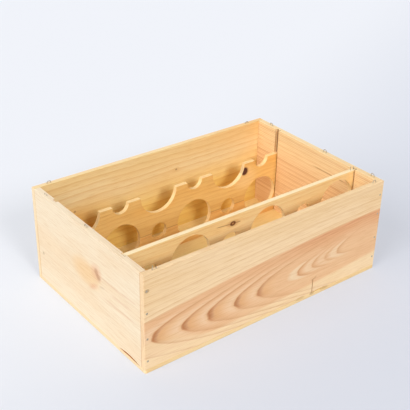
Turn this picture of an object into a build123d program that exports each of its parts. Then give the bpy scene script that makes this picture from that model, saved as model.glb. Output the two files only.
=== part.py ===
"""Open pine case for twelve bottles lying head to tail in two layers, its lid pulled off.

Millimetres. The origin is the middle of the underside, +X runs along the case to its right end,
-Y faces the figured front panel and +Z is up.
"""
from build123d import *
import math
import os

# Bottle holes, which set the size of the whole case
body_hole_diameter = 77.0
neck_hole_diameter = 33.0
bottles_per_layer = 6
tooth_width = 25.0      # flat between two holes of a row
middle_web = 23.0       # wood between the two rows of holes
edge_web = 8.0          # wood outside the holes, at the foot and the head of a rack
bottle_room = 312.0     # inside width, for a bottle lying across the case

# Boards of the box
side_thickness = 9.0
end_thickness = 11.0
base_thickness = 7.0
base_seam = 0.6         # gap between the two boards of the bottom
rim_clearance = 2.0     # how far the rim stands above a full rack
arris = 0.4             # worn edge of a sawn board

# Racks and the grooves that they stand in
rack_thickness = 8.0
rack_spread = 202.0     # from the middle of one groove to the middle of the other
groove_depth = 4.0
groove_play = 2.0       # how much wider a groove is than its rack
strip_end_clearance = 0.5

# Wire nails that hold the boards
nail_diameter = 1.8
nail_head_diameter = 4.2
nail_head_thickness = 0.8
nail_sink = 0.2         # how far a head lies below the wood
nail_point = 3.0
nail_tip_share = 0.2    # how wide the blunt end of the point is
nail_head_side_count = 8    # heads and wires are drawn with flats in place of their round
wire_side_count = 6
corner_nail_length = 34.0
base_nail_length = 30.0
left_nail_height_shares = (0.09, 0.33, 0.60, 0.83)
right_nail_height_shares = (0.115, 0.35, 0.63, 0.85)
base_side_nail_shares = (-0.42, -0.14, 0.14, 0.42)
base_end_nail_shares = (-0.28, -0.10, 0.10, 0.28)

# Lid nails left standing, two legs of wire each: where, place along it, height of each leg, lean.
# Legs of one height are still joined by their crown.
lid_wire_diameter = 1.2
lid_wire_depth = 12.0
lid_crown_width = 8.0
lid_crown_bend = 1.4    # how far the corners of a crown are rounded off
lid_stub_height = 9.0
lid_stub_lean = 12.0    # degrees
lid_stub_shares = (
    ("front", -0.456, 0.85, 0.40, 0.3),
    ("front", 0.460, 0.60, 0.60, -0.3),
    ("back", -0.440, 0.50, 0.50, 0.4),
    ("back", 0.424, 0.40, 0.40, 0.5),
    ("left", 0.401, 0.35, 0.25, -0.5),
    ("left", 0.000, 0.40, 0.40, 0.5),
    ("right", 0.397, 0.60, 0.60, -0.4),
    ("right", -0.077, 0.65, 0.65, 0.6),
    ("right", -0.458, 0.75, 0.75, -0.5),
    ("rack", 0.474, 0.75, 0.65, 0.0),
)

# Damage: a split in the front panel, chips along its foot, a gap under the left end and a worn corner
split_width = 0.6
split_height = 29.0
split_depth = 2.0
split_share = 0.193
chip_length = 44.0
chip_height = 2.6
chip_depth = 3.0
chip_shares = ((0.229, 1.0), (0.138, 0.6))    # place along the panel, size
gap_length = 58.0
gap_height = 3.2
gap_depth = 2.6
gap_share = -0.372
worn_corner = 5.0

overrun = 5.0           # how far a cutting shape passes the wood

# Sizes that follow
body_radius = body_hole_diameter / 2
neck_radius = neck_hole_diameter / 2
bottle_pitch = body_radius + neck_radius + tooth_width
layer_pitch = body_radius + neck_radius + middle_web
strip_height = body_radius + edge_web
inside_length = bottles_per_layer * bottle_pitch
case_length = inside_length + 2 * end_thickness
case_width = bottle_room + 2 * side_thickness
wall_height = 2 * strip_height + layer_pitch + rim_clearance
rim_level = base_thickness + wall_height
wall_middle = base_thickness + wall_height / 2
side_middle = (bottle_room + side_thickness) / 2
end_middle = (inside_length + end_thickness) / 2
groove_width = rack_thickness + groove_play
lower_row = base_thickness + strip_height
upper_row = lower_row + layer_pitch
rack_top = upper_row + strip_height
rack_setback = (rack_spread + rack_thickness - groove_width) / 2


def board(length, width, height):
    """A sawn board about the origin, all its edges slightly worn."""
    blank = Box(length, width, height)
    return chamfer(blank.edges(), arris)


def wire(diameter, length, side_count=wire_side_count):
    """A straight piece of wire standing on the origin."""
    return extrude(RegularPolygon(diameter / 2, side_count), length)


def nail(length, pocket=0.0):
    """A wire nail driven up from the origin; a pocket opens the wood in front of its head."""
    shank_start = nail_sink + nail_head_thickness
    point_start = length - nail_point
    head_blank = wire(nail_head_diameter, nail_head_thickness + pocket, nail_head_side_count)
    head = Pos(0, 0, nail_sink - pocket) * head_blank
    shank = Pos(0, 0, shank_start) * wire(nail_diameter, point_start - shank_start)
    flat_distance = nail_diameter / 2 * math.cos(math.pi / wire_side_count)
    point_slope = math.degrees(math.atan((1 - nail_tip_share) * flat_distance / nail_point))
    point = extrude(RegularPolygon(nail_diameter / 2, wire_side_count), nail_point, taper=point_slope)
    return head + shank + Pos(0, 0, point_start) * point


def corner_nail_seats(end_side, panel_side):
    """Where the nails of one corner enter the long panel, pointing into the end board."""
    seats = []
    for share in left_nail_height_shares if end_side < 0 else right_nail_height_shares:
        place = (end_side * end_middle, panel_side * case_width / 2, base_thickness + share * wall_height)
        seats.append(Plane(place, z_dir=(0, -panel_side, 0)))
    return seats


def side_base_nail_seats(panel_side):
    """Where the nails under one long panel enter the bottom."""
    seats = []
    for share in base_side_nail_shares:
        seats.append(Plane((share * case_length, panel_side * side_middle, 0)))
    return seats


def end_base_nail_seats(end_side):
    """Where the nails under one end board enter the bottom."""
    seats = []
    for share in base_end_nail_shares:
        seats.append(Plane((end_side * end_middle, share * bottle_room, 0)))
    return seats


def driven(seats, length, pocket=0.0):
    """The nails of a list of seats, each a solid of its own."""
    return [seat * nail(length, pocket) for seat in seats]


def stub_seat(carrier, along_share, lean_share):
    """The place where a lid nail stands, with its crown along the wood and its own lean across it."""
    lean = lean_share * lid_stub_lean
    if carrier == "rack":
        return Pos(along_share * case_length, -rack_setback, rack_top) * Rot(lean, 0, 0)
    if carrier in ("front", "back"):
        panel_side = -1 if carrier == "front" else 1
        return Pos(along_share * case_length, panel_side * side_middle, rim_level) * Rot(lean, 0, 0)
    end_side = -1 if carrier == "left" else 1
    return Pos(end_side * end_middle, along_share * bottle_room, rim_level) * Rot(0, lean, 0) * Rot(0, 0, 90)


def joined_legs(height):
    """A lid nail that is still whole: one wire bent over, standing that high out of the wood."""
    half = (lid_crown_width - lid_wire_diameter) / 2
    top = height - lid_wire_diameter / 2
    foot = (-half, 0, -lid_wire_depth)
    left_side = [foot, (-half, 0, top - lid_crown_bend), (lid_crown_bend - half, 0, top)]
    right_side = [(-x, y, z) for x, y, z in reversed(left_side)]
    section = Pos(*foot) * RegularPolygon(lid_wire_diameter / 2, wire_side_count)
    return sweep(section, Polyline(*left_side, *right_side), transition=Transition.RIGHT)


def lone_leg(leg_side, height):
    """One leg of a lid nail that has lost its crown."""
    half = (lid_crown_width - lid_wire_diameter) / 2
    return Pos(leg_side * half, 0, -lid_wire_depth) * wire(lid_wire_diameter, lid_wire_depth + height)


def lid_stubs(carriers):
    """The lid nails left in some pieces, each from inside the wood to above it."""
    wires = []
    for carrier, along_share, first_share, second_share, lean_share in lid_stub_shares:
        if carrier in carriers:
            seat = stub_seat(carrier, along_share, lean_share)
            if first_share == second_share:
                wires.append(seat * joined_legs(first_share * lid_stub_height))
            else:
                wires.append(seat * lone_leg(-1, first_share * lid_stub_height))
                wires.append(seat * lone_leg(1, second_share * lid_stub_height))
    return wires


def edge_chip(length, height, depth):
    """An arched sliver lost from a bottom edge at z = 0, cut both ways from an upright face at y = 0."""
    half = length / 2
    arch_radius = (half ** 2 + height ** 2) / (2 * height)
    return Pos(0, 0, height - arch_radius) * Rot(90, 0, 0) * Cylinder(arch_radius, 2 * depth)


def long_panel(panel_side):
    """A side board, as long as the case, with the holes of the nails that hold it."""
    name = "front" if panel_side < 0 else "back"
    blank = Pos(0, panel_side * side_middle, wall_middle) * board(case_length, side_thickness, wall_height)
    nails = driven(corner_nail_seats(-1, panel_side), corner_nail_length, overrun)
    nails += driven(corner_nail_seats(1, panel_side), corner_nail_length, overrun)
    nails += driven(side_base_nail_seats(panel_side), base_nail_length)
    return blank - nails - lid_stubs([name])


def front_panel():
    """The front side board, split and chipped at its foot."""
    face = -case_width / 2
    split_blank = Box(split_width, 2 * split_depth, split_height + overrun)
    split = Pos(split_share * case_length, face, base_thickness + (split_height - overrun) / 2) * split_blank
    panel = long_panel(-1) - split
    for share, size_share in chip_shares:
        chip = edge_chip(size_share * chip_length, size_share * chip_height, chip_depth)
        panel -= Pos(share * case_length, face, base_thickness) * chip
    return panel


def end_board(end_side):
    """An end board between the side boards, with two upright grooves for the racks."""
    name = "left" if end_side < 0 else "right"
    wood = Pos(end_side * end_middle, 0, wall_middle) * board(end_thickness, bottle_room, wall_height)
    groove = Box(2 * groove_depth, groove_width, wall_height + 2 * overrun)
    for rack_side in (-1, 1):
        wood -= Pos(end_side * inside_length / 2, rack_side * rack_spread / 2, wall_middle) * groove
    nails = driven(corner_nail_seats(end_side, -1), corner_nail_length)
    nails += driven(corner_nail_seats(end_side, 1), corner_nail_length)
    nails += driven(end_base_nail_seats(end_side), base_nail_length)
    return wood - nails - lid_stubs([name])


def left_end():
    """The left end board, with a sliver gone from its lower edge."""
    chip = Rot(0, 0, 90) * edge_chip(gap_length, gap_height, gap_depth)
    return end_board(-1) - Pos(-case_length / 2, gap_share * case_width, base_thickness) * chip


def base_board(panel_side):
    """One half of the bottom, nailed up into the walls."""
    width = (case_width - base_seam) / 2
    middle = panel_side * (width + base_seam) / 2
    wood = Pos(0, middle, base_thickness / 2) * board(case_length, width, base_thickness)
    seats = side_base_nail_seats(panel_side) + end_base_nail_seats(-1) + end_base_nail_seats(1)
    own_seats = [seat for seat in seats if seat.origin.Y * panel_side > 0]
    return wood - driven(own_seats, base_nail_length, overrun)


def front_base_board():
    """The front half of the bottom, its left corner rubbed round."""
    blunt = Box(2 * worn_corner, 2 * worn_corner, base_thickness + overrun)
    blunt -= Pos(worn_corner, worn_corner, 0) * Cylinder(worn_corner, base_thickness + overrun)
    return base_board(-1) - Pos(-case_length / 2, -case_width / 2, base_thickness / 2) * blunt


def hole_row(level, first_is_body):
    """The holes of one layer, bottle bodies and bottle necks by turns along the case."""
    holes = []
    for count in range(bottles_per_layer):
        is_body = (count % 2 == 0) == first_is_body
        radius = body_radius if is_body else neck_radius
        place = (2 * count + 1 - bottles_per_layer) * bottle_pitch / 2
        holes.append(Pos(place, level) * Circle(radius))
    return holes


def rack_strip(rack_side, foot, head):
    """One strip of a rack, sawn out half-round wherever a bottle passes its edge."""
    length = inside_length + 2 * (groove_depth - strip_end_clearance)
    rear_face = rack_side * rack_spread / 2 + groove_width / 2
    blank = Pos(0, (foot + head) / 2) * Rectangle(length, head - foot)
    body_first_above = rack_side > 0
    outline = blank - hole_row(upper_row, body_first_above) - hole_row(lower_row, not body_first_above)
    return extrude(Plane.XZ.offset(-rear_face) * outline, amount=rack_thickness)


nodes = {
    "front_panel": front_panel(),
    "back_panel": long_panel(1),
    "left_end": left_end(),
    "right_end": end_board(1),
    "front_base_board": front_base_board(),
    "rear_base_board": base_board(1),
    "front_rack_lower_strip": rack_strip(-1, base_thickness, lower_row),
    "front_rack_middle_strip": rack_strip(-1, lower_row, upper_row),
    "front_rack_top_strip": rack_strip(-1, upper_row, rack_top) - lid_stubs(["rack"]),
    "rear_rack_lower_strip": rack_strip(1, base_thickness, lower_row),
    "rear_rack_middle_strip": rack_strip(1, lower_row, upper_row),
    "front_left_corner_nails": driven(corner_nail_seats(-1, -1), corner_nail_length),
    "front_right_corner_nails": driven(corner_nail_seats(1, -1), corner_nail_length),
    "back_left_corner_nails": driven(corner_nail_seats(-1, 1), corner_nail_length),
    "back_right_corner_nails": driven(corner_nail_seats(1, 1), corner_nail_length),
    "front_base_nails": driven(side_base_nail_seats(-1), base_nail_length),
    "rear_base_nails": driven(side_base_nail_seats(1), base_nail_length),
    "left_base_nails": driven(end_base_nail_seats(-1), base_nail_length),
    "right_base_nails": driven(end_base_nail_seats(1), base_nail_length),
    "lid_nail_stubs": lid_stubs(["front", "back", "left", "right", "rack"]),
}

os.makedirs("parts", exist_ok=True)
for name, shape in nodes.items():
    if isinstance(shape, list):
        shape = Compound(children=shape)
    export_step(shape, f"parts/{name}.step")
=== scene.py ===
import math
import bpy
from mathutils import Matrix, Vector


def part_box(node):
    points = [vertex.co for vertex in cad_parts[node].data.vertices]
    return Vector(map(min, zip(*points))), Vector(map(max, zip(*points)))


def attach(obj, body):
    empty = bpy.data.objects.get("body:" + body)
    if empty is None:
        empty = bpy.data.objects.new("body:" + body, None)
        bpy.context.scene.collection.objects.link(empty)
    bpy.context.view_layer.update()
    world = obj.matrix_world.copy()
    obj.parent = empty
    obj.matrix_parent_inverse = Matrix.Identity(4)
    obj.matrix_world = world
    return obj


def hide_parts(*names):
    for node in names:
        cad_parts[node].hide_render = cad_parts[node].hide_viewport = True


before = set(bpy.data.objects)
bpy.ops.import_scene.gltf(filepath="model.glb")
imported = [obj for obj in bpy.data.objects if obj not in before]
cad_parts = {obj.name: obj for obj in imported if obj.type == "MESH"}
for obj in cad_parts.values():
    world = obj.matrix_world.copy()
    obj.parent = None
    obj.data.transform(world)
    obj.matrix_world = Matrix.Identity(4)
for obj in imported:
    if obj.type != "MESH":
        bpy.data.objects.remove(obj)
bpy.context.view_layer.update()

from types import SimpleNamespace

import bmesh
import bpy
from mathutils import Matrix, Vector


# Bottom boards. Two thin pine boards lie side by side under the case, with a narrow seam between them.
# They are sawn and barely planed, and were nailed up into the lower edges of the four walls.

MM_PER_M = 1000.0


class Flow:
    """A socket in a node tree. Sums on it add Math nodes, and node() adds any other node."""

    def __init__(self, tree, socket=None):
        self.tree = tree
        self.socket = socket

    def node(self, kind, settings=None, inputs=None, out=0):
        """A new node: first its settings, then the values or links of its sockets."""
        made = self.tree.nodes.new(kind)
        for name, value in (settings or {}).items():
            if name == "stops":
                self.set_stops(made.color_ramp, value)
            else:
                setattr(made, name, value)
        for key, value in (inputs or {}).items():
            if isinstance(value, Flow):
                self.tree.links.new(value.socket, made.inputs[key])
            else:
                made.inputs[key].default_value = value
        return Flow(self.tree, made.outputs[out] if made.outputs else None)

    @staticmethod
    def set_stops(ramp, stops):
        """Grey stops of a ramp, as (place, value) pairs in rising order."""
        while len(ramp.elements) < len(stops):
            ramp.elements.new(1.0)
        for element, (place, value) in zip(ramp.elements, stops):
            element.position = place
            element.color = (value, value, value, 1.0)

    def out(self, name):
        """Another output of the node that this socket belongs to."""
        return Flow(self.tree, self.socket.node.outputs[name])

    def maths(self, operation, *values):
        return self.node("ShaderNodeMath", {"operation": operation}, dict(enumerate(values)))

    def __add__(self, other):
        return self.maths("ADD", self, other)

    __radd__ = __add__

    def __sub__(self, other):
        return self.maths("SUBTRACT", self, other)

    def __rsub__(self, other):
        return self.maths("SUBTRACT", other, self)

    def __mul__(self, other):
        return self.maths("MULTIPLY", self, other)

    __rmul__ = __mul__

    def __truediv__(self, other):
        return self.maths("DIVIDE", self, other)

    def __rtruediv__(self, other):
        return self.maths("DIVIDE", other, self)

    def __pow__(self, power):
        return self.maths("POWER", self, power)

    def __abs__(self):
        return self.maths("ABSOLUTE", self)

    def rise(self, low, high):
        """0 at low, 1 at high, smooth between and level beyond. It falls where high is below low."""
        limits = {"Value": self, "From Min": low, "From Max": high}
        return self.node("ShaderNodeMapRange", {"interpolation_type": "SMOOTHSTEP"}, limits)

    def between(self, low, high, soft):
        """1 between two values, falling to 0 that far outside each."""
        return self.rise(low - soft, low) * self.rise(high + soft, high)

    def mix(self, first, second, blend="MIX"):
        """The first colour where this value is 0, blended to the second where it is 1."""
        kind = {"data_type": "RGBA", "blend_type": blend}
        return self.node("ShaderNodeMix", kind, {0: self, 6: first, 7: second}, out=2)


def tone(red, green, blue):
    """An sRGB colour, 0 to 255, as the linear colour of a shader."""
    shares = [value / 255 for value in (red, green, blue)]
    linear = [s / 12.92 if s <= 0.04045 else ((s + 0.055) / 1.055) ** 2.4 for s in shares]
    return (*linear, 1.0)


def start_board(name, axes):
    """A new wood material with its places in mm: along the grain, across the face and through the board.
    It also finds the board's two ends and its long sawn edges."""
    material = bpy.data.materials.new(name)
    material.use_nodes = True
    material.node_tree.nodes.clear()
    start = Flow(material.node_tree)
    place = start.node("ShaderNodeTexCoord", out="Object")
    facing = start.node("ShaderNodeSeparateXYZ", {}, {0: place.out("Normal")})
    place = start.node("ShaderNodeVectorMath", {"operation": "SCALE"}, {0: place, "Scale": MM_PER_M})
    parts = start.node("ShaderNodeSeparateXYZ", {}, {0: place})
    along, across, depth = [parts.out(axis) for axis in axes]
    place = start.node("ShaderNodeCombineXYZ", {}, {0: along, 1: across, 2: depth})
    return SimpleNamespace(
        material=material, place=place, along=along, across=across, depth=depth,
        end_grain=abs(facing.out(axes[0])).rise(0.55, 0.9),
        edge=abs(facing.out(axes[1])).rise(0.2, 0.7),
    )


def cloud(board, lengths, seed, detail=2.0):
    """Soft noise, 0 to 1, in patches of about these mm: along the grain, across it and through the board."""
    shift = (seed, seed * 1.7, seed * 2.3)
    spread = {0: board.place, 1: [1 / length for length in lengths], 2: shift}
    place = board.place.node("ShaderNodeVectorMath", {"operation": "MULTIPLY_ADD"}, spread)
    return place.node("ShaderNodeTexNoise", {}, {"Vector": place, "Scale": 1.0, "Detail": detail})


def year_rings(board, pith, gap, sway, seed, knots=()):
    """Years counted outwards from a pith line, at (across, depth), that runs along the grain.
    The rings part round each knot, given as (along, across, radius), as water does round a post."""
    across = board.across
    for knot_along, knot_across, radius in knots:
        beside = (board.along - knot_along) * 0.6
        above = board.across - knot_across
        across = across - above * radius ** 2 / (beside * beside + above * above + radius ** 2 * 0.5)
    drift = (cloud(board, (420, 80, 80), seed) - 0.5) * sway
    ripple = (cloud(board, (95, 16, 16), seed + 5) - 0.5) * (sway * 0.18)
    up = across - pith[0]
    through = board.depth - pith[1]
    return ((up * up + through * through) ** 0.5 + drift + ripple) / gap


LATE_WOOD_STOPS = ((0.0, 0.0), (0.35, 0.06), (0.72, 0.42), (0.9, 1.0), (1.0, 0.0))


def late_wood(years, seed):
    """The dark late wood at the end of each year, stronger in some years than in others."""
    season = years.maths("FRACT", years)
    line = season.node("ShaderNodeValToRGB", {"stops": LATE_WOOD_STOPS}, {0: season})
    year = {"W": years.maths("FLOOR", years) + seed}
    strength = years.node("ShaderNodeTexWhiteNoise", {"noise_dimensions": "1D"}, year)
    return line * (0.4 + 0.6 * strength)


def wood_colour(board, lines, early, late, warm, seed):
    """Early wood that turns warmer in patches, with the late wood's lines over it."""
    patch = cloud(board, (190, 42, 42), seed + 11).rise(0.35, 0.7)
    return lines.mix(patch.mix(tone(*early), tone(*warm)), tone(*late))


FIBRE_TINT = tone(222, 196, 160)


def close_board(board, colour, lines, seed, end_grain=(238, 206, 160)):
    """Fine fibre over the figure, the sawn end grain, and the faint relief that the planer leaves."""
    colour = (board.end_grain * 0.7).mix(colour, tone(*end_grain))
    fibre = cloud(board, (26, 0.8, 0.8), seed + 3, detail=3.0)
    colour = (fibre.rise(0.45, 0.8) * 0.55).mix(colour, FIBRE_TINT, "MULTIPLY")
    height = fibre * 0.7 + lines * 0.3
    relief = {"Strength": 0.3, "Distance": 0.0003, "Height": height}
    finish = {
        "Base Color": colour,
        "Roughness": 0.54 + 0.18 * fibre,
        "Specular IOR Level": 0.32,
        "Normal": height.node("ShaderNodeBump", {}, relief),
    }
    surface = height.node("ShaderNodeBsdfPrincipled", {}, finish)
    surface.node("ShaderNodeOutputMaterial", {}, {0: surface})


def dress(board, *nodes):
    """The finished material goes into the slots of these boards."""
    for node in nodes:
        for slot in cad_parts[node].material_slots:
            slot.material = board.material


base = start_board("base_pine", "XYZ")
BASE_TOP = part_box("front_base_board")[1].z * MM_PER_M
FRONT_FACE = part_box("front_panel")[0].y * MM_PER_M
LEFT_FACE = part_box("left_end")[0].x * MM_PER_M
FOOT_STAINS = ((69, 14, 0.25), (97, 7, 0.4), (126, 13, 0.3))
GAP_ENDS = (-150, -96)
base_years = year_rings(base, pith=(40, 90), gap=4.2, sway=14, seed=2.0)
base_lines = late_wood(base_years, seed=2.0)
BASE_TONES = ((240, 214, 166), (218, 176, 118), (236, 204, 150))
base_colour = wood_colour(base, base_lines * 0.5, *BASE_TONES, seed=2.0)
base_inside = base.depth.rise(BASE_TOP - 0.8, BASE_TOP - 0.2)
base_colour = (base_inside * 0.6).mix(base_colour, tone(254, 226, 150))
# Painted shade: the base's top is painted darker where it shows in the gap under the left end's foot.
base_gap_shade = base_inside * base.along.rise(LEFT_FACE + 3.2, LEFT_FACE + 2.4)
base_gap_shade = base_gap_shade * base.across.between(*GAP_ENDS, 2)
base_colour = base_gap_shade.mix(base_colour, tone(196, 124, 60))
for place, reach, darkness in FOOT_STAINS:
    beside = (base.along - place) / reach
    below = (base.depth - BASE_TOP) / 4.0
    stain = (beside * beside + below * below).rise(1.0, 0.1) * darkness
    stain = stain * base.across.rise(FRONT_FACE + 1.2, FRONT_FACE + 0.3)
    base_colour = stain.mix(base_colour, tone(150, 104, 58))
close_board(base, base_colour, base_lines, seed=2.0, end_grain=(243, 222, 186))
dress(base, "front_base_board", "rear_base_board")


# End boards. One pine board closes each short side, with two upright grooves cut in its inner face.
# The left one is pale sapwood with a grown-in knot, the right one is fine straight-grained heartwood.

left = start_board("left_end_pine", "YZX")
END_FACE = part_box("right_end")[0].x * MM_PER_M
# Spans across the board, in mm, of the groove corners where shade is painted.
GROOVE_SHADE_SPANS = ((-106.5, -103.5), (-100.5, -97.5), (95.5, 98.5), (101.5, 104.5))
GROOVE_DEPTH = 4.0
LEFT_KNOT = (-34, 116)
LEFT_KNOT_TAIL = (-40, 109)
LEFT_HALO = (-34, 115)
LEFT_CLOUD = (-2, 100)
LEFT_BLUSH = ((-42, 93), (-4, 74))
LEFT_DASH = ((-60, 97), (-38, 93))
LEFT_MARK = (141, 62)
LEFT_JOINT = (154.7, 155.7)
LEFT_STREAKS = (
    ((-150, 118), (-95, 114)), ((-105, 114), (-42, 114)), ((-135, 99), (-70, 95)), ((-150, 81), (-45, 78)),
)


def groove_shade(board, inwards):
    """1 in the corners of an end board's two upright grooves, where shade is painted as darker wood."""
    depth = board.depth * inwards - END_FACE
    corners = sum(board.along.between(*reach, 0.4) for reach in GROOVE_SHADE_SPANS)
    return depth.between(1.0, GROOVE_DEPTH + 0.2, 0.3) * corners


def spot(board, middle, size, soft=0.6):
    """1 in an oval of these half sizes on the board's face, fading to 0 at its edge."""
    beside = (board.along - middle[0]) / size[0]
    above = (board.across - middle[1]) / size[1]
    return (beside * beside + above * above).rise(1.0, 1.0 - soft)


def streak(board, first, last, width, fade=0.25):
    """A thin line on the face between two places, fading towards its ends."""
    run = (board.along - first[0]) / (last[0] - first[0])
    level = first[1] + (last[1] - first[1]) * run
    line = abs(board.across - level).rise(width, 0.0)
    return line * run.rise(0.0, fade) * run.rise(1.0, 1.0 - fade)


left_years = year_rings(left, pith=(95, -190), gap=3.6, sway=16, seed=5.0, knots=[(*LEFT_KNOT, 13)])
left_lines = late_wood(left_years, seed=5.0)
LEFT_TONES = ((242, 226, 199), (222, 187, 146), (240, 218, 186))
left_colour = wood_colour(left, left_lines * 0.3, *LEFT_TONES, seed=5.0)
left_cloud = spot(left, LEFT_CLOUD, (52, 30), soft=1.0) * 0.7
left_colour = left_cloud.mix(left_colour, tone(238, 199, 146))
left_blush = streak(left, *LEFT_BLUSH, 9.0, fade=0.5) * 0.55
left_colour = left_blush.mix(left_colour, tone(226, 170, 132))
for first, last in LEFT_STREAKS:
    left_streak = streak(left, first, last, 3.4) * 0.3
    left_colour = left_streak.mix(left_colour, tone(214, 164, 126))
left_dash = streak(left, *LEFT_DASH, 3.6, fade=0.4) * 0.35
left_colour = left_dash.mix(left_colour, tone(190, 156, 116))
left_halo = spot(left, LEFT_HALO, (20, 19), soft=1.0) * 0.5
left_colour = left_halo.mix(left_colour, tone(228, 172, 130))
for knot, size in ((LEFT_KNOT, (7.5, 9)), (LEFT_KNOT_TAIL, (8, 7.5))):
    left_core = spot(left, knot, size, soft=1.0) * 0.48
    left_colour = left_core.mix(left_colour, tone(172, 116, 84))
left_mark = spot(left, LEFT_MARK, (4, 3.5), soft=0.8) * 0.5
left_colour = left_mark.mix(left_colour, tone(176, 150, 100))
left_joint = abs(left.along).rise(*LEFT_JOINT) * 0.7
left_colour = left_joint.mix(left_colour, tone(192, 142, 88))
# Painted shade: the recessed wood of the gap at the left end's foot, just above the base, is painted darker.
left_gap_shade = left.along.between(*GAP_ENDS, 1) * left.across.rise(BASE_TOP + 4.2, BASE_TOP + 3.4)
left_gap_shade = left_gap_shade * left.depth.rise(LEFT_FACE + 0.1, LEFT_FACE + 0.7)
left_colour = left_gap_shade.mix(left_colour, tone(206, 132, 66))
# Painted shade: the corners of the left end's two grooves are painted dark brown.
left_colour = (groove_shade(left, -1) * 0.85).mix(left_colour, tone(120, 74, 36))
close_board(left, left_colour, left_lines, seed=5.0)
dress(left, "left_end")

right = start_board("right_end_pine", "YZX")
RIGHT_CRACK = ((-100, 145), (6, 146))
RIGHT_SAP_HEIGHTS = (100, 165)
YEARS_PER_BAND = 3
right_years = year_rings(right, pith=(-160, 215), gap=3.3, sway=7, seed=8.0)
right_inside = right.depth.rise(END_FACE + 8, END_FACE + 4)
right_bands = late_wood(right_years / YEARS_PER_BAND, seed=9.0) * 0.6
right_lines = late_wood(right_years, seed=8.0)
right_lines = right_lines.maths("MAXIMUM", right_lines, right_bands) * (0.45 + 0.55 * right_inside)
right_sap = right.across + (cloud(right, (200, 30, 30), 8.5) - 0.5) * 30
right_sap = right_sap.rise(*RIGHT_SAP_HEIGHTS)
RIGHT_HEART_TONES = ((247, 211, 160), (186, 108, 58), (245, 207, 154))
RIGHT_SAP_TONES = ((248, 220, 170), (204, 138, 78), (247, 222, 174))
right_heart = wood_colour(right, right_lines, *RIGHT_HEART_TONES, seed=8.0)
right_pale = wood_colour(right, right_lines * 0.9, *RIGHT_SAP_TONES, seed=8.0)
right_colour = right_sap.mix(right_heart, right_pale)
right_crack = streak(right, *RIGHT_CRACK, 1.3) * right_inside * 0.75
right_colour = right_crack.mix(right_colour, tone(150, 90, 45))
# Painted shade: the corners of the right end's two grooves are painted dark brown.
right_colour = (groove_shade(right, 1) * 0.85).mix(right_colour, tone(112, 66, 30))
close_board(right, right_colour, right_lines, seed=8.0)
dress(right, "right_end")


# Front panel. A wide flat-sawn pine board that covers both end boards: the saw met the rings almost
# flat, so they show as a row of pointed arches in the reddish heart, between bands of pale sapwood.

front = start_board("front_panel_pine", "XZY")
HEART_TOP = (118, 0.058, -0.000104)
HEART_LINE = (60.3, 0.052, 0.000247)
HEART_BOTTOM = (24, 0.022, 0.00012)
OUTER_LINE_END = -20
SPLIT_ALONG = 96.6
SPLIT_HEIGHTS = (10, 34)
SPLIT_TEAR = ((92, 33), (106, 40))
NAIL_STAIN = (-245, 150.6)
PITH_DEPTH = 55.0
OUTER_BEND = 14.5
INNER_BEND = 8.0
OUTER_TIPS = ((-326, 0.75), (-237, 1.0), (-180, 0.95), (-132, 1.0), (-78, 0.9), (-29, 0.75))
INNER_TIPS = ((57, 0.8), (91, 0.5), (121, 0.35), (151, 0.6))
TIPS_RANGE = (-380.0, 230.0)
BLUNT = 5.0
UPPER_ARM = ((-1.5, 0.0), (1, 1.0), (4.5, 0.6), (13, 0.2), (28, 0.0))
LOWER_ARM = ((-2, 0.0), (1.5, 1.0), (6, 0.6), (17, 0.22), (34, 0.0))
INNER_ARM = ((-1.5, 0.0), (1, 1.0), (4, 0.5), (10, 0.15), (18, 0.0))
BLUNT_TIP = ((-1.5, 0.0), (1, 1.0), (6, 0.8), (12, 0.0))
GLOW = ((7, 0.0), (15, 1.0), (40, 0.0))
OUTER_EARLY = ((-36, 0.0), (-9, 1.0), (-2, 0.0))
INNER_EARLY = ((-25, 0.0), (-14, 1.0), (-3, 0.7), (0, 0.0))


def arches(place, tips, shape):
    """One mark for each pointed ring: its profile, counted in mm inwards from the ring's tip."""
    span = TIPS_RANGE[1] - TIPS_RANGE[0]
    stops = []
    for tip, darkness in tips:
        stops += [((tip + inwards - TIPS_RANGE[0]) / span, darkness * share) for inwards, share in shape]
    place = (place - TIPS_RANGE[0]) / span
    return place.node("ShaderNodeValToRGB", {"stops": stops}, {0: place})


def ring_tips(above, bend):
    """Where the tip of the ring through each place lies, in mm along the board."""
    through = front.depth - (FRONT_FACE + PITH_DEPTH)
    squared = above * above
    spread = squared * squared / (squared + BLUNT ** 2) + through * through - PITH_DEPTH ** 2
    return front.along - spread / bend + (cloud(front, (70, 14, 14), 31.0) - 0.5) * 12


def bowed(along, curve):
    """A height that bends gently along the board, from its value, slope and bend at the middle."""
    middle, slope, bend = curve
    return middle + slope * along + bend * along * along


along = front.along
heart_top = bowed(along, HEART_TOP)
over_heart = front.across - heart_top
heart_bottom = bowed(along, HEART_BOTTOM)
above = front.across - bowed(along.maths("MINIMUM", along, OUTER_LINE_END), HEART_LINE)
above_inner = front.across - bowed(along, HEART_LINE)
outer_tips = ring_tips(above, OUTER_BEND)
inner_tips = ring_tips(above_inner, INNER_BEND)

upper_half = above.rise(-6, 6)
upper_lines = arches(outer_tips, OUTER_TIPS, UPPER_ARM) * (1.0 - 0.6 * above.rise(18, 50))
lower_lines = arches(outer_tips, OUTER_TIPS, LOWER_ARM) * (1.0 - 0.5 * above.rise(-6, -16))
outer_lines = lower_lines + (upper_lines - lower_lines) * upper_half
outer_lines = outer_lines * over_heart.rise(4, -3)
inner_lines = arches(inner_tips, INNER_TIPS, INNER_ARM) * (1.0 - 0.7 * abs(above_inner).rise(6, 22))
arch_lines = outer_lines.maths("MAXIMUM", outer_lines, inner_lines)
blunt_tips = arches(outer_tips, OUTER_TIPS, BLUNT_TIP) * abs(above - 2).rise(13, 4)
glow = arches(outer_tips, OUTER_TIPS, GLOW) * abs(above).rise(20, 6)
early = arches(outer_tips, OUTER_TIPS, OUTER_EARLY) * above.rise(-30, -5) * above.rise(46, 20)
lens = arches(inner_tips, INNER_TIPS, INNER_EARLY) * abs(above_inner).rise(20, 9)

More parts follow.
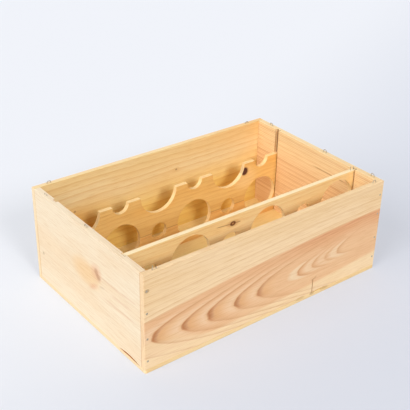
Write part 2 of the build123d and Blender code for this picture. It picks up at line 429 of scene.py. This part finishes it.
border = (cloud(front, (160, 18, 18), 35.0) - 0.5) * 4
level = front.across - (heart_top - HEART_TOP[0]) * (1.0 - 0.7 * over_heart.rise(0, 60))
sap_drift = cloud(front, (330, 34, 34), 33.0) - 0.5
sap_lines = late_wood(level / 8.4 + sap_drift * 1.2, seed=3.0)
fine_lines = late_wood(level / 3.6 + sap_drift * 2.0, seed=4.0) * (0.4 + 0.6 * along.rise(-60, 160))
sap_lines = sap_lines.maths("MAXIMUM", sap_lines, fine_lines) * over_heart.rise(-2, 6)
heart = (over_heart + border).rise(1.5, -3.5) * (front.across - heart_bottom + border).rise(-2.5, 5)
below = 1.0 - outer_tips.rise(-222, -180)
heart = heart * (1.0 - 0.75 * below * above.rise(4, -14))
heart_depth = over_heart.rise(-44, -2) * (0.25 + 0.75 * along.rise(-120, 200))
red_lines = late_wood(level / 4.6 + 0.3, seed=6.0) * over_heart.rise(-40, -6) * along.rise(-60, 120)

sap_patch = cloud(front, (210, 40, 40), 36.0).rise(0.35, 0.7)
sap_colour = sap_patch.mix(tone(244, 216, 175), tone(239, 207, 160))
heart_colour = heart_depth.mix(tone(232, 188, 144), tone(226, 168, 122))
heart_patch = cloud(front, (90, 16, 16), 37.0).rise(0.4, 0.75) * 0.4
heart_colour = heart_patch.mix(heart_colour, tone(238, 202, 158))
heart_colour = (early * 0.55).mix(heart_colour, tone(242, 212, 178))
heart_colour = lens.mix(heart_colour, tone(241, 217, 182))
heart_colour = (red_lines * 0.7).mix(heart_colour, tone(202, 138, 94))
front_colour = heart.mix(sap_colour, heart_colour)
front_colour = (glow * 0.5).mix(front_colour, tone(230, 176, 116))
front_colour = (sap_lines * 0.55).mix(front_colour, tone(212, 164, 112))
front_colour = (arch_lines * 0.85).mix(front_colour, tone(190, 118, 64))
front_colour = (blunt_tips * 0.55).mix(front_colour, tone(160, 98, 52))
front_split = abs(along - SPLIT_ALONG).rise(1.7, 0.2) * front.across.between(*SPLIT_HEIGHTS, 3)
front_colour = (front_split * 0.75).mix(front_colour, tone(160, 110, 60))
front_tear = streak(front, *SPLIT_TEAR, 2.4) * 0.5
front_colour = front_tear.mix(front_colour, tone(176, 122, 74))
for place, reach, darkness in FOOT_STAINS:
    stain = spot(front, (place, BASE_TOP), (reach, 4.5), soft=0.9) * darkness
    front_colour = stain.mix(front_colour, tone(150, 104, 58))
front_foot = front.across.rise(BASE_TOP + 1.6, BASE_TOP) * 0.4
front_colour = front_foot.mix(front_colour, tone(190, 142, 90))
nail_stain = spot(front, NAIL_STAIN, (5, 4), soft=0.9) * 0.6
front_colour = nail_stain.mix(front_colour, tone(150, 114, 80))
close_board(front, front_colour, arch_lines, seed=30.0, end_grain=(243, 214, 174))
dress(front, "front_panel")


# Back panel. The same wide pine board, nailed on at the back, with quieter wavy rings, two pin knots
# and a deeper golden tone towards its upper right-hand end.

back = start_board("back_panel_pine", "XZY")
BACK_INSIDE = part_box("back_panel")[0].y * MM_PER_M
BACK_PINS = ((40, 131), (-178, 112))
BACK_SHADE_HEIGHTS = (135, 60)
BACK_CORNER_PLACES = (-105, -190)
BACK_CORNER_HEIGHTS = (130, 85)
BACK_WARM_PLACES = (-20, 240)
BACK_WARM_HEIGHTS = (120, 180)
BACK_TONES = ((244, 222, 172), (219, 171, 102), (242, 214, 156))
back_knots = [(*pin, 4) for pin in BACK_PINS]
back_years = year_rings(back, pith=(-60, 190), gap=12.0, sway=26, seed=14.0, knots=back_knots)
back_lines = late_wood(back_years, seed=14.0)
back_colour = wood_colour(back, back_lines * 0.6, *BACK_TONES, seed=14.0)
back_inside = back.depth.rise(BACK_INSIDE + 4, BACK_INSIDE + 1)
# Painted shade: the inner face is painted darker and more golden towards the bottom, and darker again
# towards its lower left corner beside the left end.
back_shade = back.across.rise(*BACK_SHADE_HEIGHTS) * back_inside
back_colour = back_shade.mix(back_colour, tone(255, 246, 190), "MULTIPLY")
back_corner_shade = back.along.rise(*BACK_CORNER_PLACES) * back.across.rise(*BACK_CORNER_HEIGHTS) * back_inside
back_colour = back_corner_shade.mix(back_colour, tone(236, 206, 160), "MULTIPLY")
back_colour = (0.4 - 0.4 * back_inside).mix(back_colour, tone(250, 219, 182))
back_warmth = back.along.rise(*BACK_WARM_PLACES) * back.across.rise(*BACK_WARM_HEIGHTS)
back_colour = (back_warmth * 0.5).mix(back_colour, tone(240, 186, 112))
for pin in BACK_PINS:
    back_colour = (spot(back, pin, (2.8, 2.4)) * 0.6).mix(back_colour, tone(160, 104, 60))
close_board(back, back_colour, back_lines, seed=14.0, end_grain=(246, 226, 194))
dress(back, "back_panel")


# Rear rack. Two loose pine strips stand on edge in the rear grooves, one on the other: the bottle holes
# were drilled through the stack and the seams run through their middles. The upper one has a loose knot.

rear_middle = start_board("rear_middle_pine", "XZY")
RACK_KNOT = (159, 116)
RACK_KNOT_GLOW = (160, 102)
RACK_CHIP = (157, 127)
RACK_EDGE = (250, 222, 170)
rear_years = year_rings(rear_middle, pith=(40, 150), gap=6.0, sway=18, seed=17.0, knots=[(*RACK_KNOT, 15)])
rear_lines = late_wood(rear_years, seed=17.0)
REAR_TONES = ((237, 196, 123), (211, 148, 70), (235, 187, 109))
rear_colour = wood_colour(rear_middle, rear_lines * 0.45, *REAR_TONES, seed=17.0)
rear_halo = spot(rear_middle, RACK_KNOT_GLOW, (36, 30), soft=1.0) * 0.45
rear_colour = rear_halo.mix(rear_colour, tone(246, 216, 162))
rear_ring = spot(rear_middle, RACK_KNOT, (11, 11), soft=0.6) * 0.6
rear_colour = rear_ring.mix(rear_colour, tone(170, 106, 60))
rear_core = spot(rear_middle, RACK_KNOT, (8, 8.5), soft=0.4)
rear_chip = spot(rear_middle, RACK_CHIP, (1.8, 6), soft=0.8) * 0.7
rear_core = rear_core.maths("MAXIMUM", rear_core, rear_chip)
rear_colour = rear_core.mix(rear_colour, tone(88, 48, 38))
rear_edge = rear_middle.edge * (1.0 - rear_core) * 0.7
rear_colour = rear_edge.mix(rear_colour, tone(*RACK_EDGE))
close_board(rear_middle, rear_colour, rear_lines, seed=17.0, end_grain=RACK_EDGE)
dress(rear_middle, "rear_rack_middle_strip")

lower = start_board("lower_strip_pine", "XZY")
LOWER_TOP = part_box("rear_rack_lower_strip")[1].z * MM_PER_M
lower_years = year_rings(lower, pith=(110, -40), gap=5.0, sway=14, seed=20.0)
lower_lines = late_wood(lower_years, seed=20.0)
LOWER_TONES = ((248, 204, 132), (214, 146, 74), (244, 192, 114))
lower_colour = wood_colour(lower, lower_lines * 0.55, *LOWER_TONES, seed=20.0)
lower_seam = lower.across.rise(LOWER_TOP - 1.4, LOWER_TOP - 0.4) * 0.65
lower_colour = lower_seam.mix(lower_colour, tone(146, 86, 44))
close_board(lower, lower_colour, lower_lines, seed=20.0, end_grain=RACK_EDGE)
dress(lower, "rear_rack_lower_strip", "front_rack_lower_strip")


# Front rack. Three pine strips are stacked the same way in the front grooves; the top one closes the
# upper bottle holes and is paler, with one sound ring knot and a hair crack running through it.

front_middle = start_board("front_middle_pine", "XZY")
middle_years = year_rings(front_middle, pith=(150, -190), gap=5.0, sway=14, seed=23.0)
middle_lines = late_wood(middle_years, seed=23.0)
MIDDLE_TONES = ((254, 230, 172), (232, 182, 110), (252, 220, 158))
middle_colour = wood_colour(front_middle, middle_lines * 0.55, *MIDDLE_TONES, seed=23.0)
close_board(front_middle, middle_colour, middle_lines, seed=23.0, end_grain=RACK_EDGE)
dress(front_middle, "front_rack_middle_strip")

top = start_board("top_strip_pine", "XZY")
TOP_KNOT = (-36.5, 163.5)
TOP_CRACKS = (((-73, 166.5), (-38, 163.5)), ((-34, 163.5), (-19, 162.5)))
TOP_EDGE = (252, 234, 196)
top_years = year_rings(top, pith=(120, -150), gap=6.0, sway=14, seed=26.0, knots=[(*TOP_KNOT, 7)])
top_lines = late_wood(top_years, seed=26.0)
TOP_TONES = ((251, 224, 169), (232, 181, 114), (249, 216, 153))
top_colour = wood_colour(top, top_lines * 0.45, *TOP_TONES, seed=26.0)
top_halo = spot(top, TOP_KNOT, (17, 7), soft=1.0) * 0.6
top_colour = top_halo.mix(top_colour, tone(206, 150, 92))
for first, last in TOP_CRACKS:
    top_crack = streak(top, first, last, 1.3) * 0.75
    top_colour = top_crack.mix(top_colour, tone(150, 96, 52))
top_ring = spot(top, TOP_KNOT, (7, 5), soft=0.6) * 0.95
top_colour = top_ring.mix(top_colour, tone(104, 60, 30))
top_core = spot(top, TOP_KNOT, (2.8, 2.2), soft=0.8) * 0.7
top_colour = top_core.mix(top_colour, tone(206, 150, 96))
top_colour = (top.edge * 0.8).mix(top_colour, tone(*TOP_EDGE))
close_board(top, top_colour, top_lines, seed=26.0, end_grain=RACK_EDGE)
dress(top, "front_rack_top_strip")


# Wire nails. Plain bright-steel nails, four in a row at each corner through the long panels into the
# end boards, and more from below through the bottom; the heads are hammered just under the surface.

HEAD_DIAMETER = 0.0040
HEAD_THICKNESS = 0.0008
HEAD_BEVEL = 0.00025
SHANK_DIAMETER = 0.0017
POINT_LENGTH = 0.003
HEAD_SIDES = 24
CORNER_NAIL_LENGTH = 0.0338
BASE_NAIL_LENGTH = 0.0298
WELD_DISTANCE = 1e-6

steel = bpy.data.materials.new("nail_steel")
steel.use_nodes = True
steel.node_tree.nodes.clear()
steel_place = Flow(steel.node_tree).node("ShaderNodeTexCoord", out="Object")
fine_grain = {"Vector": steel_place, "Scale": 900.0, "Detail": 3.0}
steel_noise = steel_place.node("ShaderNodeTexNoise", {}, fine_grain)
rust_patches = {"Vector": steel_place, "Scale": 260.0, "Detail": 4.0}
rust = steel_place.node("ShaderNodeTexNoise", {}, rust_patches).rise(0.5, 0.7)
steel_finish = {
    "Base Color": (rust * 0.5).mix(tone(176, 168, 152), tone(132, 100, 72)),
    "Metallic": 0.35 - 0.2 * rust,
    "Roughness": 0.4 + 0.25 * steel_noise,
}
steel_surface = rust.node("ShaderNodeBsdfPrincipled", {}, steel_finish)
steel_surface.node("ShaderNodeOutputMaterial", {}, {0: steel_surface})


def solids_of(node):
    """Each separate solid in a CAD node: its corners, and for each corner the corners next to it."""
    welded = bmesh.new()
    welded.from_mesh(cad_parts[node].data)
    bmesh.ops.remove_doubles(welded, verts=welded.verts, dist=WELD_DISTANCE)
    found = []
    waiting = set(welded.verts)
    while waiting:
        front_line = [waiting.pop()]
        solid = list(front_line)
        while front_line:
            vertex = front_line.pop()
            for edge in vertex.link_edges:
                neighbour = edge.other_vert(vertex)
                if neighbour in waiting:
                    waiting.remove(neighbour)
                    front_line.append(neighbour)
                    solid.append(neighbour)
        numbers = {vertex: number for number, vertex in enumerate(solid)}
        corners = [vertex.co.copy() for vertex in solid]
        beside = [[numbers[edge.other_vert(vertex)] for edge in vertex.link_edges] for vertex in solid]
        found.append((corners, beside))
    welded.free()
    return sorted(found, key=lambda solid: tuple(round(value, 5) for value in min(solid[0], key=tuple)))


def middle_of(corners):
    return sum(corners, Vector()) / len(corners)


def node_tree(name, inputs):
    """A Geometry Nodes tree with a geometry coming in, these named inputs, and a geometry going out."""
    tree = bpy.data.node_groups.new(name, "GeometryNodeTree")
    tree.interface.new_socket("Geometry", in_out="INPUT", socket_type="NodeSocketGeometry")
    for label, kind in inputs.items():
        tree.interface.new_socket(label, in_out="INPUT", socket_type=kind)
    tree.interface.new_socket("Geometry", in_out="OUTPUT", socket_type="NodeSocketGeometry")
    return tree


def grow(name, tree, seeds, values):
    """Runs a tree on a seed mesh with these input values, and keeps the result as a plain mesh."""
    piece = bpy.data.objects.new(name, seeds)
    bpy.context.scene.collection.objects.link(piece)
    modifier = piece.modifiers.new(tree.name, "NODES")
    modifier.node_group = tree
    for item in tree.interface.items_tree:
        if item.in_out == "INPUT" and item.name in values:
            modifier[item.identifier] = values[item.name]
    shape = piece.evaluated_get(bpy.context.evaluated_depsgraph_get())
    mesh = bpy.data.meshes.new_from_object(shape)
    piece.modifiers.clear()
    piece.data = mesh
    mesh.name = name
    return piece


nail_sizes = {
    "Head Diameter": HEAD_DIAMETER,
    "Head Thickness": HEAD_THICKNESS,
    "Head Bevel": HEAD_BEVEL,
    "Shank Diameter": SHANK_DIAMETER,
    "Point": POINT_LENGTH,
}
nail_inputs = {label: "NodeSocketFloat" for label in (*nail_sizes, "Length")}
nail_inputs.update({"Drive": "NodeSocketVector", "Sides": "NodeSocketInt", "Finish": "NodeSocketMaterial"})
nail_tree = node_tree("wire_nails", nail_inputs)
nail_in = Flow(nail_tree).node("NodeGroupInput")


def half(diameter):
    return diameter / 2


def turned(start, length, near, far):
    """A turned stretch of a nail: it starts that far down the shank, with these two radii."""
    sizes = {"Vertices": nail_in.out("Sides"), "Radius Top": far, "Radius Bottom": near, "Depth": length}
    cone = nail_in.node("GeometryNodeMeshCone", {"fill_type": "NONE"}, sizes)
    place = nail_in.node("ShaderNodeCombineXYZ", {}, {2: start})
    return nail_in.node("GeometryNodeTransform", {}, {"Geometry": cone, "Translation": place})


head_radius = half(nail_in.out("Head Diameter"))
shank_radius = half(nail_in.out("Shank Diameter"))
bevel = nail_in.out("Head Bevel")
thickness = nail_in.out("Head Thickness")
shank_end = nail_in.out("Length") - nail_in.out("Point")
stretches = (
    turned(0.0, bevel, head_radius - bevel, head_radius),
    turned(bevel, thickness - bevel, head_radius, head_radius),
    turned(thickness, bevel, head_radius, shank_radius),
    turned(thickness + bevel, shank_end - thickness - bevel, shank_radius, shank_radius),
    turned(shank_end, nail_in.out("Point"), shank_radius, 0.0),
)
cap_size = {"Vertices": nail_in.out("Sides"), "Radius": head_radius - bevel}
cap = nail_in.node("GeometryNodeMeshCircle", {"fill_type": "NGON"}, cap_size)
cap = nail_in.node("GeometryNodeFlipFaces", {}, {"Mesh": cap})
nail = nail_in.node("GeometryNodeJoinGeometry")
for stretch in (*stretches, cap):
    nail_tree.links.new(stretch.socket, nail.socket.node.inputs[0])
nail = nail_in.node("GeometryNodeMergeByDistance", {}, {"Geometry": nail, "Distance": WELD_DISTANCE})
turn = nail_in.node("FunctionNodeAlignRotationToVector", {"axis": "Z"}, {"Vector": nail_in.out("Drive")})
placed = {"Points": nail_in, "Instance": nail, "Rotation": turn}
nails = nail_in.node("GeometryNodeInstanceOnPoints", {}, placed)
nails = nail_in.node("GeometryNodeRealizeInstances", {}, {"Geometry": nails})
nails = nail_in.node("GeometryNodeSetMaterial", {}, {"Geometry": nails, "Material": nail_in.out("Finish")})
nails.node("NodeGroupOutput", {}, {0: nails})

NAIL_GROUPS = (
    ("front_left_corner_nails", (0, 1, 0), CORNER_NAIL_LENGTH),
    ("front_right_corner_nails", (0, 1, 0), CORNER_NAIL_LENGTH),
    ("back_left_corner_nails", (0, -1, 0), CORNER_NAIL_LENGTH),
    ("back_right_corner_nails", (0, -1, 0), CORNER_NAIL_LENGTH),
    ("front_base_nails", (0, 0, 1), BASE_NAIL_LENGTH),
    ("rear_base_nails", (0, 0, 1), BASE_NAIL_LENGTH),
    ("left_base_nails", (0, 0, 1), BASE_NAIL_LENGTH),
    ("right_base_nails", (0, 0, 1), BASE_NAIL_LENGTH),
)
for group, drive, length in NAIL_GROUPS:
    heads = []
    for corners, _ in solids_of(group):
        outermost_reach = min(corner.dot(Vector(drive)) for corner in corners)
        rim = [corner for corner in corners if corner.dot(Vector(drive)) < outermost_reach + HEAD_BEVEL]
        heads.append(middle_of(rim))
    places = bpy.data.meshes.new(group + "_places")
    places.from_pydata(heads, [], [])
    sizes = {**nail_sizes, "Length": length, "Drive": drive, "Sides": HEAD_SIDES, "Finish": steel}
    hammered = grow("round_" + group, nail_tree, places, sizes)
    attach(hammered, "root")
    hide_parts(group)


# Lid nails. The lid was held by two-legged nails of steel wire; it was prised off and they were left
# standing in the rim, some still bridged by their crown and some broken down to their legs.

WIRE_DIAMETER = 0.0012
WIRE_SIDES = 12
WIRE_BEND = 0.0011
WIRE_BEND_STEPS = 4

wire_inputs = {
    "Diameter": "NodeSocketFloat",
    "Bend": "NodeSocketFloat",
    "Sides": "NodeSocketInt",
    "Finish": "NodeSocketMaterial",
}
wire_tree = node_tree("standing_wires", wire_inputs)
wire_in = Flow(wire_tree).node("NodeGroupInput")
wire_path = wire_in.node("GeometryNodeMeshToCurve", {}, {"Mesh": wire_in})
rounding = {
    "Curve": wire_path,
    "Count": WIRE_BEND_STEPS,
    "Radius": wire_in.out("Bend"),
    "Limit Radius": True,
}
wire_path = wire_in.node("GeometryNodeFilletCurve", {"mode": "POLY"}, rounding)
ring_size = {"Resolution": wire_in.out("Sides"), "Radius": half(wire_in.out("Diameter"))}
wire_ring = wire_in.node("GeometryNodeCurvePrimitiveCircle", {}, ring_size)
drawn = {"Curve": wire_path, "Profile Curve": wire_ring, "Fill Caps": True}
wire = wire_in.node("GeometryNodeCurveToMesh", {}, drawn)
wire = wire_in.node("GeometryNodeRealizeInstances", {}, {"Geometry": wire})
wire = wire_in.node("GeometryNodeSetMaterial", {}, {"Geometry": wire, "Material": wire_in.out("Finish")})
wire.node("NodeGroupOutput", {}, {0: wire})


def wire_stations(corners, beside):
    """The bends and ends of one wire: the middles of its rings of corners, from its lowest end on."""
    lowest = min(corners, key=lambda corner: corner.z)
    ring = {n for n, corner in enumerate(corners) if (corner - lowest).length < 1.1 * WIRE_DIAMETER}
    stations = []
    passed = set()
    while ring:
        stations.append(middle_of([corners[n] for n in ring]))
        passed |= ring
        ring = {m for n in ring for m in beside[n]} - passed
    return stations


points = []
edges = []
for corners, beside in solids_of("lid_nail_stubs"):
    stations = wire_stations(corners, beside)
    edges += [(len(points) + n, len(points) + n + 1) for n in range(len(stations) - 1)]
    points += stations
wire_lines = bpy.data.meshes.new("lid_wire_lines")
wire_lines.from_pydata(points, edges, [])
wire_sizes = {"Diameter": WIRE_DIAMETER, "Bend": WIRE_BEND, "Sides": WIRE_SIDES, "Finish": steel}
lid_wires = grow("lid_wires", wire_tree, wire_lines, wire_sizes)
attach(lid_wires, "root")
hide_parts("lid_nail_stubs")


# Studio. A pale table top that runs out of the picture on every side, painted darker towards the near right
# as painted shade; a wide soft lamp at the left, a smaller one in front of the case, a weak one behind it,
# and even light from all round.

FLOOR_REACH = 6.0
TABLE_LIFT = 0.48
TABLE_FAR = (237, 240, 247)
TABLE_NEAR = (216, 220, 231)
TABLE_REFLECTED = (198, 200, 206)
TABLE_FALL = (0.4, 0.9)
TABLE_FALL_REACH = 0.4
ROOM_STRENGTH = 0.37
ROOM_LIGHT = (250, 252, 255)
ROOM_WHITE = (242, 245, 251)
floor_mesh = bpy.data.meshes.new("table_top")
floor_corners = [(x, y, 0.0) for x, y in ((-1, -1), (1, -1), (1, 1), (-1, 1))]
floor_mesh.from_pydata([Vector(corner) * FLOOR_REACH for corner in floor_corners], [], [(0, 1, 2, 3)])
floor = bpy.data.objects.new("table_top", floor_mesh)
bpy.context.scene.collection.objects.link(floor)
paint = bpy.data.materials.new("pale_table")
paint.use_nodes = True
paint.node_tree.nodes.clear()
paint_place = Flow(paint.node_tree).node("ShaderNodeTexCoord", out="Object")
paint_parts = paint_place.node("ShaderNodeSeparateXYZ", {}, {0: paint_place})
# Painted shade: the table is painted darker towards the near right, standing in for light that falls off
# there.
towards_near_right = TABLE_FALL[0] * paint_parts.out("X") - TABLE_FALL[1] * paint_parts.out("Y")
table_painted_shade = towards_near_right.rise(-TABLE_FALL_REACH, TABLE_FALL_REACH)
paint_colour = table_painted_shade.mix(tone(*TABLE_FAR), tone(*TABLE_NEAR))
paint_seen = paint_colour.node("ShaderNodeLightPath", out="Is Camera Ray")
paint_coat = {"Base Color": paint_seen.mix(tone(*TABLE_REFLECTED), paint_colour), "Roughness": 0.75}
paint_surface = paint_colour.node("ShaderNodeBsdfPrincipled", {}, paint_coat)
paint_glow = paint_colour.node("ShaderNodeEmission", {}, {"Color": paint_colour})
paint_layers = {0: paint_seen * TABLE_LIFT, 1: paint_surface, 2: paint_glow}
paint_mixed = paint_colour.node("ShaderNodeMixShader", {}, paint_layers)
paint_mixed.node("ShaderNodeOutputMaterial", {}, {0: paint_mixed})
floor_mesh.materials.append(paint)

world = bpy.data.worlds.new("studio")
bpy.context.scene.world = world
world.use_nodes = True
world.node_tree.nodes.clear()
rays = Flow(world.node_tree).node("ShaderNodeLightPath", out="Is Camera Ray")
seen = rays.maths("MAXIMUM", rays, rays.out("Is Glossy Ray"))
seen = seen.maths("MAXIMUM", seen, rays.out("Is Transmission Ray"))
room_glow = {"Color": tone(*ROOM_LIGHT), "Strength": ROOM_STRENGTH}
room_light = rays.node("ShaderNodeBackground", {}, room_glow)
room_white = rays.node("ShaderNodeBackground", {}, {"Color": tone(*ROOM_WHITE), "Strength": 1.0})
room = rays.node("ShaderNodeMixShader", {}, {0: seen, 1: room_light, 2: room_white})
room.node("ShaderNodeOutputWorld", {}, {0: room})

LAMP_COLOUR = (1.0, 0.98, 0.95)
# Each lamp has a name, the direction it shines from, its strength and its width in degrees.
LAMPS = (
    ("side_lamp", (-0.85, -0.10, 0.52), 2.15, 40),
    ("front_lamp", (-0.07, -0.84, 0.54), 1.6, 17),
    ("back_lamp", (0.55, 0.70, 0.45), 0.45, 110),
)
for name, lamp_from, energy, width in LAMPS:
    lamp_light = bpy.data.lights.new(name, "SUN")
    lamp_light.energy = energy
    lamp_light.angle = math.radians(width)
    lamp_light.color = LAMP_COLOUR
    lamp = bpy.data.objects.new(name, lamp_light)
    lamp.rotation_euler = (-Vector(lamp_from)).to_track_quat("-Z", "Y").to_euler()
    bpy.context.scene.collection.objects.link(lamp)


# Camera. It looks down on the front left corner of the case, as in the photograph, through a longish
# lens that is shifted a little to frame the case as it is framed there.

CAMERA_PLACE = Vector((-0.8237, -1.0309, 0.8720))
CAMERA_HEADING = math.radians(39.81)
CAMERA_DIP = math.radians(30.43)
CAMERA_ROLL = math.radians(2.02)
SENSOR_WIDTH = 36.0
LENS_LENGTH = 76.97
LENS_SHIFT = (-0.0508, 0.052)

forward = Vector((
    math.sin(CAMERA_HEADING) * math.cos(CAMERA_DIP),
    math.cos(CAMERA_HEADING) * math.cos(CAMERA_DIP),
    -math.sin(CAMERA_DIP),
))
level_right = forward.cross(Vector((0, 0, 1))).normalized()
level_up = level_right.cross(forward)
right_hand = math.cos(CAMERA_ROLL) * level_right + math.sin(CAMERA_ROLL) * level_up
upward = math.cos(CAMERA_ROLL) * level_up - math.sin(CAMERA_ROLL) * level_right
camera_view = bpy.data.cameras.new("camera")
camera_view.sensor_width = SENSOR_WIDTH
camera_view.lens = LENS_LENGTH
camera_view.shift_x, camera_view.shift_y = LENS_SHIFT
camera = bpy.data.objects.new("camera", camera_view)
turn_to_view = Matrix((right_hand, upward, -forward)).transposed()
camera.matrix_world = Matrix.Translation(CAMERA_PLACE) @ turn_to_view.to_4x4()
bpy.context.scene.collection.objects.link(camera)
bpy.context.scene.camera = camera
bpy.context.scene.view_settings.view_transform = "Standard"
